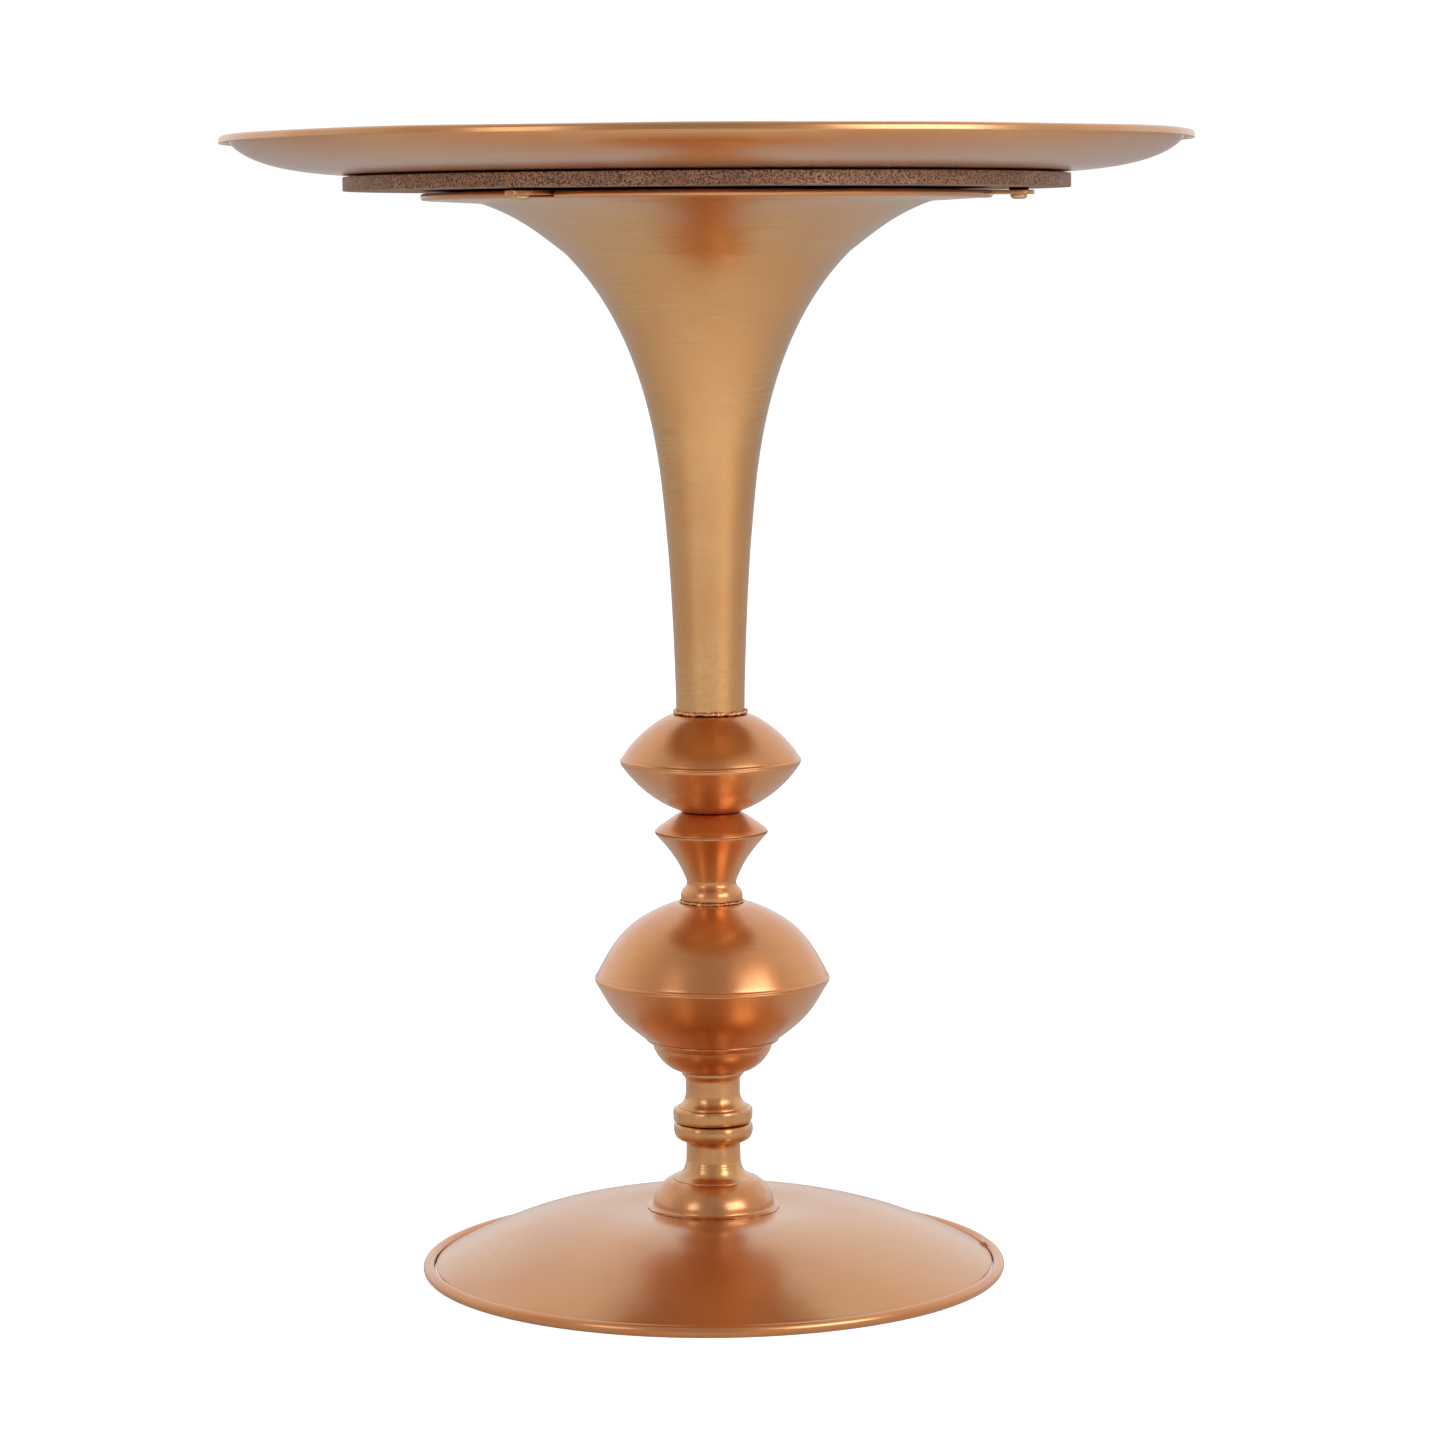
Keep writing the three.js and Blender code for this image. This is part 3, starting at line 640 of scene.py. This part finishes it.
def rolled_rim():
    """Three arcs of rolled edge between the tabs. A circle is carried round the flange, and shrinks to
    a rounded end at each notch."""
    height = top_of("trumpet") - RIM_ROLL
    angles = sorted(tab_angle(k) for k in (1, 2, 3))
    gap = NOTCH_HALF / ROLL_CENTRE
    for k, start in enumerate(angles):
        end = angles[(k + 1) % 3] + (2 * math.pi if k == 2 else 0)
        ends = np.sin(np.linspace(0, math.pi / 2, 7)) * ROLL_END / ROLL_CENTRE
        turn = np.r_[start + gap + ends[-1] - ends[::-1],
                     np.linspace(start + gap, end - gap, 100)[1:-1], end - gap - ends[-1] + ends]
        turn = np.sort(turn)
        size = RIM_ROLL + 0.08 * waves(turn, (5, 11, 17), 7 + k)
        from_end = np.minimum(turn - turn[0], turn[-1] - turn) * ROLL_CENTRE
        size = size - 0.7 * (1 - np.sqrt(1 - (1 - np.clip(from_end / ROLL_END, 0, 1)) ** 2))
        section = circle(28) * size[:, None, None]
        wander = 0.15 * waves(turn, (3, 7), 17 + k)
        path = outward(turn) * ROLL_CENTRE + UP * (height + wander)[:, None]
        piece(f"trumpet_rim_{k + 1}", carried(section, path, outward(turn)), False, FORMED)


def bead(name, node, radius, height, size, lumps, seed):
    """A run of braze round a joint. A circle is carried round, and its size and place stray with sums
    of sine waves; lumps are (degrees, width, extra size)."""
    turn = around(480)
    grow = 1 + 0.22 * waves(turn, (9, 23, 37, 58, 81), seed)
    grow = grow + sum(extra * bump_at(turn, degrees, width) for degrees, width, extra in lumps)
    section = circle(14) * (size * grow)[:, None, None]
    rise = height + 0.18 * waves(turn, (4, 11, 19), seed + 1)
    reach = radius + 0.1 * waves(turn, (5, 13), seed + 2)
    path = outward(turn) * reach[:, None] + UP * rise[:, None]
    piece(name, carried(section, path, outward(turn)), True, BRAZE, [node])


# ---- The column, from the top down ----
ROD_HOLE = 5.6  # radius of the hole for the rod in everything it passes through


def seam_waver(edge, seed, size=0.3):
    """Unevenness of a hand-closed seam: the edge rises and falls by size, fading over 5 mm."""
    def waver(turn, radius, height):
        """What is added to radius and height."""
        fade = np.exp(-(((height - edge) / 5) ** 2))
        return fade * 0.12 * waves(turn, (2, 5, 9), seed + 1), fade * size * waves(turn, (2, 3, 5), seed)
    return waver


def column_piece(name, node, outline, closed=True, finish=SPUN, uneven=None):
    """A turned piece of the column, standing where its node stands."""
    rings = turned(outline, COLUMN_SIDES, bottom_of(node), uneven)
    piece(name, rings, closed, finish, [node])


def upper_bulb():
    """Two spun halves, crowned above and dished below, that meet in a sharp edge."""
    edge = height_of("upper_bulb_bottom")
    top = chain(
        bend((52.3, 0), (53.3, 0.0), (53.5, 1.2), (52.5, 1.5), 8),
        bend((52.5, 1.5), (52.1, 1.7), (52.0, 2.0), (51.8, 2.5), 4),
        bend((51.8, 2.5), (46.5, 12.2), (33.3, 23.65), (23.5, 27.45), 36),
        bend((23.5, 27.45), (21, 28.2), (19, 28.25), (17, 28.25), 6),
        line((ROD_HOLE, 28.25)),
    )
    low = chain(
        line((ROD_HOLE, 0), (16.4, 0)),
        bend((16.4, 0), (17.6, 0), (18.6, 0.7), (19.6, 1.2), 6),
        bend((19.6, 1.2), (34.9, 7.2), (44.9, 17.2), (52.2, 27.3), 40),
        bend((52.2, 27.3), (52.7, 28.0), (52.9, 28.4), (52.9, edge), 6),
    )
    column_piece("upper_bulb_crown", "upper_bulb_top", sheet(top, SHEET), uneven=seam_waver(0, 20))
    column_piece("upper_bulb_bowl", "upper_bulb_bottom", sheet(low, SHEET), uneven=seam_waver(edge, 20))


def spool():
    """A shallow cap on a hollow cone, with a waist and a bead at its foot."""
    body_top = height_of("spool_body")
    cap = np.concatenate([
        eased([(ROD_HOLE, 0), (33.0, 0), (33.1, 0.5), (31, 2.55), (21.4, 9.45), (17.4, 11.65),
               (ROD_HOLE, 11.65)], 1.0),
        line((ROD_HOLE, 6)),
    ])
    body = chain(
        line((ROD_HOLE, 0)),
        bend((16.6, 0), (17.9, 0.2), (18.2, 1.6), (18.15, 3.2), 8),
        bend((18.15, 3.2), (18.1, 5.0), (17.6, 6.6), (16.6, 7.6), 8),
        bend((16.6, 7.6), (15.2, 9.0), (14.3, 9.8), (14.6, 12.1), 8),
        bend((14.6, 12.1), (18.9, 23.8), (24.5, 30.9), (32.1, 39.0), 30),
        bend((32.1, 39.0), (32.8, 39.7), (33.1, 40.1), (33.0, body_top), 5),
        line((28, body_top), (18, 26.6), (ROD_HOLE, 20.6)),
    )
    column_piece("spool_cap_finished", "spool_cap", cap, uneven=seam_waver(0, 24, 0.2))
    column_piece("spool_finished", "spool_body", body, uneven=seam_waver(body_top, 24, 0.2))


def lower_bulb():
    """Two spun halves: a tall crown and a bowl, with a sharp edge between them."""
    edge = height_of("lower_bulb_bottom")
    top = chain(
        bend((68.3, 0), (69.3, 0.0), (69.5, 1.3), (68.5, 1.6), 8),
        bend((68.5, 1.6), (68.1, 1.8), (68.0, 2.1), (67.8, 2.7), 4),
        bend((67.8, 2.7), (57.2, 23.9), (49.6, 33.8), (25.4, 43.55), 48),
        bend((25.4, 43.55), (22.6, 44.6), (20, 45.15), (17, 45.15), 6),
        line((ROD_HOLE, 45.15)),
    )
    low = chain(
        line((ROD_HOLE, 0), (23, 0.1)),
        bend((23, 0.1), (27, 0.9), (33, 4.2), (39.7, 7.4), 14),
        bend((39.7, 7.4), (57, 20.7), (58.9, 23.5), (68.5, 41.3), 48),
        bend((68.5, 41.3), (68.8, 41.8), (68.9, 42.1), (68.85, edge), 4),
    )
    column_piece("lower_bulb_crown", "lower_bulb_top", sheet(top, SHEET), uneven=seam_waver(0, 28))
    column_piece("lower_bulb_bowl", "lower_bulb_bottom", sheet(low, SHEET), uneven=seam_waver(edge, 28))


def bulb_cup():
    """A cup with a lip turned out against the bowl above it."""
    face = chain(
        line((ROD_HOLE, 0), (18.3, 0)),
        bend((18.3, 0), (20.2, 0.3), (21.4, 0.8), (22.6, 1.3), 6),
        bend((22.6, 1.3), (25.6, 2.2), (32.6, 7.4), (34.9, 14.8), 22),
        bend((34.9, 14.8), (35.2, 16.2), (36.2, 16.7), (37.2, 17.3), 8),
        line((38.9, 18.5)),
    )
    column_piece("cup_finished", "bulb_cup", sheet(face, SHEET), uneven=seam_waver(18, 32, 0.15))


def collars():
    """Two cast collars whose rings meet, with a neck above and a neck below."""
    upper_high = height_of("upper_collar")
    upper = np.concatenate([chain(
        line((ROD_HOLE, 0)),
        eased([(21.6, 0), (22.9, 0.5), (23.4, 2.1), (23.5, 7.2), (22.7, 8.8), (21.2, 9.1), (20.4, 8.8)],
              0.7, 5),
        bend((20.4, 8.8), (20.6, 10.3), (18.0, 11.0), (16.9, 13.6), 12),
        bend((16.9, 13.6), (16.2, 15.2), (16.1, 17.2), (16.1, 19.6), 6),
        spread((16.1, 19.6), (16.1, 25.0), 3),
        bend((16.1, 25.0), (16.2, 26.6), (16.9, 27.2), (17.8, 28.1), 8),
        bend((17.8, 28.1), (18.4, 28.7), (18.5, 29.2), (18.4, upper_high), 5),
        line((ROD_HOLE, upper_high)),
    ), line((ROD_HOLE, upper_high / 2))])
    lower_high = height_of("lower_collar")
    lower = np.concatenate([chain(
        line((ROD_HOLE, -2.3)),
        bend((23.8, -2.5), (24.8, -2.4), (24.6, -1.7), (23.4, -1.3), 8),
        bend((23.4, -1.3), (21.9, -0.8), (20.6, -0.4), (19.6, 0.4), 8),
        bend((19.6, 0.4), (18.0, 1.6), (16.9, 4.2), (16.6, 6.3), 10),
        eased([(16.6, 6.3), (16.35, 6.7), (16.5, 7.1), (16.2, 7.6)], 0.2, 3),
        spread((16.2, 7.6), (16.0, 16.5), 4),
        bend((16.0, 16.5), (16.0, 18.3), (16.1, 19.4), (17.2, 20.2), 6),
        bend((17.2, 20.2), (19.0, 20.6), (21.4, 21.4), (22.4, 22.8), 10),
        bend((22.4, 22.8), (23.6, 24.4), (23.7, 27.4), (23.3, 29.0), 10),
        bend((23.3, 29.0), (23.0, 30.2), (22.6, 30.9), (21.6, lower_high), 6),
        line((ROD_HOLE, lower_high)),
    ), line((ROD_HOLE, lower_high / 2))])

    def sand_cast(seed):
        """Casting is never true: the necks stray by 0.1 mm and the rings by 0.25 mm in radius, and
        everything leans a little."""
        def stray(turn, radius, height):
            """What is added to radius and height, outside the rod's hole."""
            outside = radius > 10
            lean = 0.25 * np.sin(turn + seed) * np.clip(radius / 23, 0, 1)
            ringed = 0.1 + 0.15 * (radius > 21)
            return outside * ringed * waves(turn, (2, 5, 9, 14), seed), outside * lean
        return stray

    column_piece("upper_collar_finished", "upper_collar", upper, finish=CAST,
                 uneven=sand_cast(40))
    column_piece("lower_collar_finished", "lower_collar", lower, finish=CAST,
                 uneven=sand_cast(43))


def foot():
    """A cast bell foot with a thin, ragged lip of flash on the base."""
    high = height_of("foot")
    outline = chain(
        line((24, 0), (38, 0)),
        bend((38.7, 0.0), (39.2, 0.05), (39.2, 0.25), (38.6, 0.3), 6),
        bend((38.6, 0.3), (37.6, 0.35), (37.0, 0.45), (36.4, 0.9), 6),
        bend((36.4, 0.9), (35.7, 1.3), (35.9, 2.6), (35.6, 4.2), 8),
        bend((35.6, 4.2), (34.6, 8.4), (31.6, 12.4), (28.4, 15.0), 18),
        bend((28.4, 15.0), (26.9, 16.2), (25.6, 16.7), (24.2, 16.9), 8),
        line((ROD_HOLE, 16.9), (ROD_HOLE, high - 5), (24, high - 8), (24, 4)),
    )

    def flash(turn, radius, height):
        """The lip is ragged, and its underside lies 0.25 mm into the base."""
        lip = np.clip((radius - 36.6) / 3, 0, 1)
        ragged = (0.4 * waves(turn, (3, 8, 17, 29), 50) + 1.6 * bump_at(turn, -32, 14)
                  - 1.0 * bump_at(turn, -100, 22))
        sunk = -0.25 * (height < 0.2)
        return lip * ragged, lip * 0.1 * waves(turn, (4, 9, 21), 53) * (height > 0.3) + sunk

    column_piece("foot_finished", "foot", outline, finish=CAST_FOOT, uneven=flash)


# ---- Base ----
DOME_EDGE = 164.0  # radius of the dome's edge
DOME_EDGE_HEIGHT = 5.2
DOME_TOP = 37.1  # height of the dome's flat top
RING_WIRE = 3.45  # radius of the ring's wire
RING_RADIUS = 168.3  # from the axis to the middle of the wire


def base_dome():
    """A spun dome, flat under the foot, that falls to a thin edge."""
    face = chain(
        bend((DOME_EDGE, DOME_EDGE_HEIGHT), (90, 43.8), (54, DOME_TOP + 0.1), (42, DOME_TOP), 70),
        line((30, DOME_TOP), (ROD_HOLE, DOME_TOP)),
    )

    def wander(turn, radius, height):
        """The sheet is not quite true between the foot and the edge."""
        share = np.clip((radius - 40) / 60, 0, 1) * np.clip((166 - radius) / 40, 0, 1)
        return 0 * radius, share * 0.35 * waves(turn, (2, 3, 5), 60)

    piece("dome_finished", turned(sheet(face, SHEET), WIDE_SIDES, 0, wander), True, PALE,
          ["base_dome"])


def rim_ring():
    """A round wire ring: a circle carried round the base."""
    turn = around(WIDE_SIDES)
    reach = RING_RADIUS + 0.12 * waves(turn, (2, 3, 5), 62)
    path = outward(turn) * reach[:, None] + UP * RING_WIRE
    rings = carried(circle(40)[None] * RING_WIRE, path, outward(turn))
    piece("ring_finished", rings, True, FORMED, ["base_rim_ring"])


def rim_weld():
    """A spot of weld between dome and ring: a ball stretched along the ring, with a rippled skin."""
    centre = middle_of("rim_weld")
    angle = math.atan2(centre[1], centre[0])
    rise = np.linspace(-math.pi / 2, math.pi / 2, 20)[:, None]
    turn = around(36)
    skin_wave = 1 + 0.08 * np.sin(5 * turn + 3 * rise) + 0.05 * np.sin(9 * turn)
    x = 0.95 * np.cos(rise) * np.cos(turn) * skin_wave
    y = 4.5 * np.cos(rise) * np.sin(turn) * skin_wave
    z = 0.95 * np.sin(rise) + 0 * turn
    out = np.array([math.cos(angle), math.sin(angle), 0])
    along = np.array([-math.sin(angle), math.cos(angle), 0])
    rings = centre + x[..., None] * out + y[..., None] * along + z[..., None] * UP
    piece("weld_finished", rings, False, BRAZE, ["rim_weld"])


# ---- The rod and what it clamps ----
ROD_RADIUS = 5.0
THREAD_PITCH = 1.5
THREADED = 30  # length of the thread at each end
NUT_HALF = 8.5  # half the width across a nut's flats


def washer(name, node):
    """A flat ring with a sharp punched side and a rounded one."""
    low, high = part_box(node)
    outer, thick = high.x / MM, (high.z - low.z) / MM
    outline = chain(line((ROD_HOLE, 0), (outer, 0), (outer, thick - 0.6)),
                    eased([(outer, thick - 0.6), (outer, thick), (ROD_HOLE, thick)], 0.5))
    piece(name, turned(outline, SMALL_SIDES * 2, bottom_of(node)), True, ZINC, [node])


def nut(name, node):
    """A hexagon with both ends chamfered: r = min(flat / cos(a mod 60 - 30), face + 1.9 · depth)."""
    thick = height_of(node)
    outer = NUT_HALF / math.cos(math.pi / 6)
    depth = np.linspace(0, 1.2, 9)
    side = np.r_[depth, thick - depth[::-1]]
    outline = np.concatenate([line((ROD_HOLE - 0.4, 0)), np.stack([0 * side + outer, side], axis=1),
                              line((ROD_HOLE - 0.4, thick))])

    def hexagon(turn, radius, height):
        """Moves the outer points to the chamfered hexagon."""
        flat = NUT_HALF / np.cos(turn % (math.pi / 3) - math.pi / 6)
        end = np.minimum(height, thick - height)
        wanted = np.minimum(flat, NUT_HALF - 0.3 + 1.9 * end)
        return (radius > 7) * (wanted - radius), 0 * height

    piece(name, turned(outline, 192, bottom_of(node), hexagon), True, ZINC, [node])


def tie_rod():
    """A long rod with a cut thread at both ends: r falls by 0.6 mm in a triangular groove whose place
    climbs one pitch each turn."""
    length = height_of("tie_rod")
    outline = chain(line((0, 0), (ROD_RADIUS - 0.8, 0)),
                    spread((ROD_RADIUS, 0.8), (ROD_RADIUS, THREADED), 140),
                    spread((ROD_RADIUS, length - THREADED), (ROD_RADIUS, length - 0.8), 140),
                    line((ROD_RADIUS - 0.8, length), (0, length)))

    def thread(turn, radius, height):
        """Cuts the groove at the two ends."""
        share = (height / THREAD_PITCH - turn / (2 * math.pi)) % 1
        groove = 0.6 * (1 - np.abs(2 * share - 1))
        cut = (np.minimum(height, length - height) <= THREADED - 1) & (radius > ROD_RADIUS - 0.5)
        return -groove * cut, 0 * height

    piece("rod_finished", turned(outline, SMALL_SIDES, bottom_of("tie_rod"), thread), False, ZINC,
          ["tie_rod"])


def stiffener_plate():
    """A punched disc under the dome, with eased edges."""
    low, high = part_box("stiffener_plate")
    outer, thick = high.x / MM, (high.z - low.z) / MM
    outline = eased([(ROD_HOLE, 0.2), (ROD_HOLE, 0), (outer, 0), (outer, thick), (ROD_HOLE, thick),
                     (ROD_HOLE, 0.4)], 0.4)
    piece("plate_finished", turned(outline, COLUMN_SIDES, bottom_of("stiffener_plate")), True, ZINC,
          ["stiffener_plate"])


# ---- Build the table ----
tray()
tray_pad()
mounting_board()
for number in (1, 2, 3):
    fixing_tab(number)
    tab_screw(number)
    tab_spacer(number)
trumpet()
rolled_rim()
upper_bulb()
spool()
lower_bulb()
bulb_cup()
collars()
foot()
base_dome()
rim_ring()
rim_weld()
bead("trumpet_braze", "trumpet_braze_bead", 21.0, bottom_of("trumpet") - 0.7, 0.95,
     [(-75, 6, 0.5), (-118, 5, 0.4)], 70)
bead("spool_braze", "spool_braze_bead", 18.6, bottom_of("spool_body") + 0.1, 0.5,
     [(-112, 5, 1.2), (-128, 7, 0.6), (-96, 6, 0.4)], 75)
tie_rod()
for end in ("top", "base"):
    washer(f"{end}_washer_finished", f"{end}_washer")
    nut(f"{end}_nut_finished", f"{end}_nut")
stiffener_plate()


# ---- Floor, light and camera ----
def pale_floor(tree):
    """Pale matt paper. The camera sees it overexposed, as white as the wall behind."""
    camera_ray = add(tree, "LightPath").outputs["Is Camera Ray"]
    glow = add(tree, "Math", [camera_ray, 0.8], operation="MULTIPLY")
    return add(tree, "BsdfPrincipled", {
        "Base Color": colour("C6C4C1"), "Roughness": 0.9, "Emission Color": colour("FFFFFF"),
        "Emission Strength": glow})


def studio_floor():
    """A floor 18 m square."""
    mesh = bpy.data.meshes.new("floor")
    half = 9.0
    mesh.from_pydata([(-half, -half, 0), (half, -half, 0), (half, half, 0), (-half, half, 0)], [],
                     [(0, 1, 2, 3)])
    mesh.materials.append(new_material("pale_floor", pale_floor))
    floor = bpy.data.objects.new("floor", mesh)
    bpy.context.scene.collection.objects.link(floor)


def studio_world():
    """White behind the table and at its sides, darker behind the camera, so that the metal has
    something to reflect. What the camera sees directly is plain white."""
    world = bpy.data.worlds.new("studio")
    bpy.context.scene.world = world
    world.use_nodes = True
    tree = world.node_tree
    tree.nodes.clear()
    direction = add(tree, "TexCoord").outputs["Generated"]
    axes = add(tree, "SeparateXYZ", [direction])
    depth = add(tree, "MapRange", [axes.outputs["Y"], -0.8, 0.6, 0.38, 0.9],
                interpolation_type="SMOOTHSTEP")
    lit = add(tree, "Background", {"Color": colour("FFFFFF"), "Strength": depth})
    seen = add(tree, "Background", {"Color": colour("FFFFFF"), "Strength": 1.05})
    camera_ray = add(tree, "LightPath").outputs["Is Camera Ray"]
    either = add(tree, "MixShader", [camera_ray, lit, seen])
    add(tree, "OutputWorld", {"Surface": either})


def softbox(name, azimuth, elevation, distance, width, height, brightness, aim=(0, 0, 0.33),
            mirrored=True):
    """A rectangular light that faces its aim, in degrees and metres. azimuth turns from the camera's
    side towards +X. One that isn't mirrored lights the floor, but the metal doesn't show it."""
    light = bpy.data.lights.new(name, "AREA")
    light.shape = "RECTANGLE"
    light.size, light.size_y = width, height
    light.energy = brightness * math.pi * width * height
    box = bpy.data.objects.new(name, light)
    a, e = math.radians(azimuth), math.radians(elevation)
    back = Vector((math.sin(a) * math.cos(e), -math.cos(a) * math.cos(e), math.sin(e)))
    box.location = Vector(aim) + back * distance
    box.rotation_euler = back.to_track_quat("Z", "Y").to_euler()
    box.visible_camera = False
    box.visible_glossy = mirrored
    bpy.context.scene.collection.objects.link(box)


def camera():
    """Stands 2.5 m in front, a little below the board, and looks 6.3 degrees down."""
    data = bpy.data.cameras.new("camera")
    data.lens = 108.87
    data.sensor_width = 36.0
    made = bpy.data.objects.new("camera", data)
    made.location = (0.007, -2.5385, 0.6064)
    pitch = Matrix.Rotation(math.radians(90 - 6.336), 3, "X")
    roll = Matrix.Rotation(math.radians(-0.37), 3, "Z")
    made.rotation_euler = (pitch @ roll).to_euler()
    bpy.context.scene.collection.objects.link(made)
    bpy.context.scene.camera = made


studio_floor()
studio_world()
softbox("key", 47, 22, 2.4, 1.4, 1.2, 3.6)
softbox("fill", -42, 20, 2.6, 0.8, 1.3, 1.9)
softbox("front_floor", 0, 62, 1.8, 2.4, 0.8, 7.5, aim=(0, -1.2, 0), mirrored=False)
camera()
bpy.context.scene.view_settings.view_transform = "Standard"
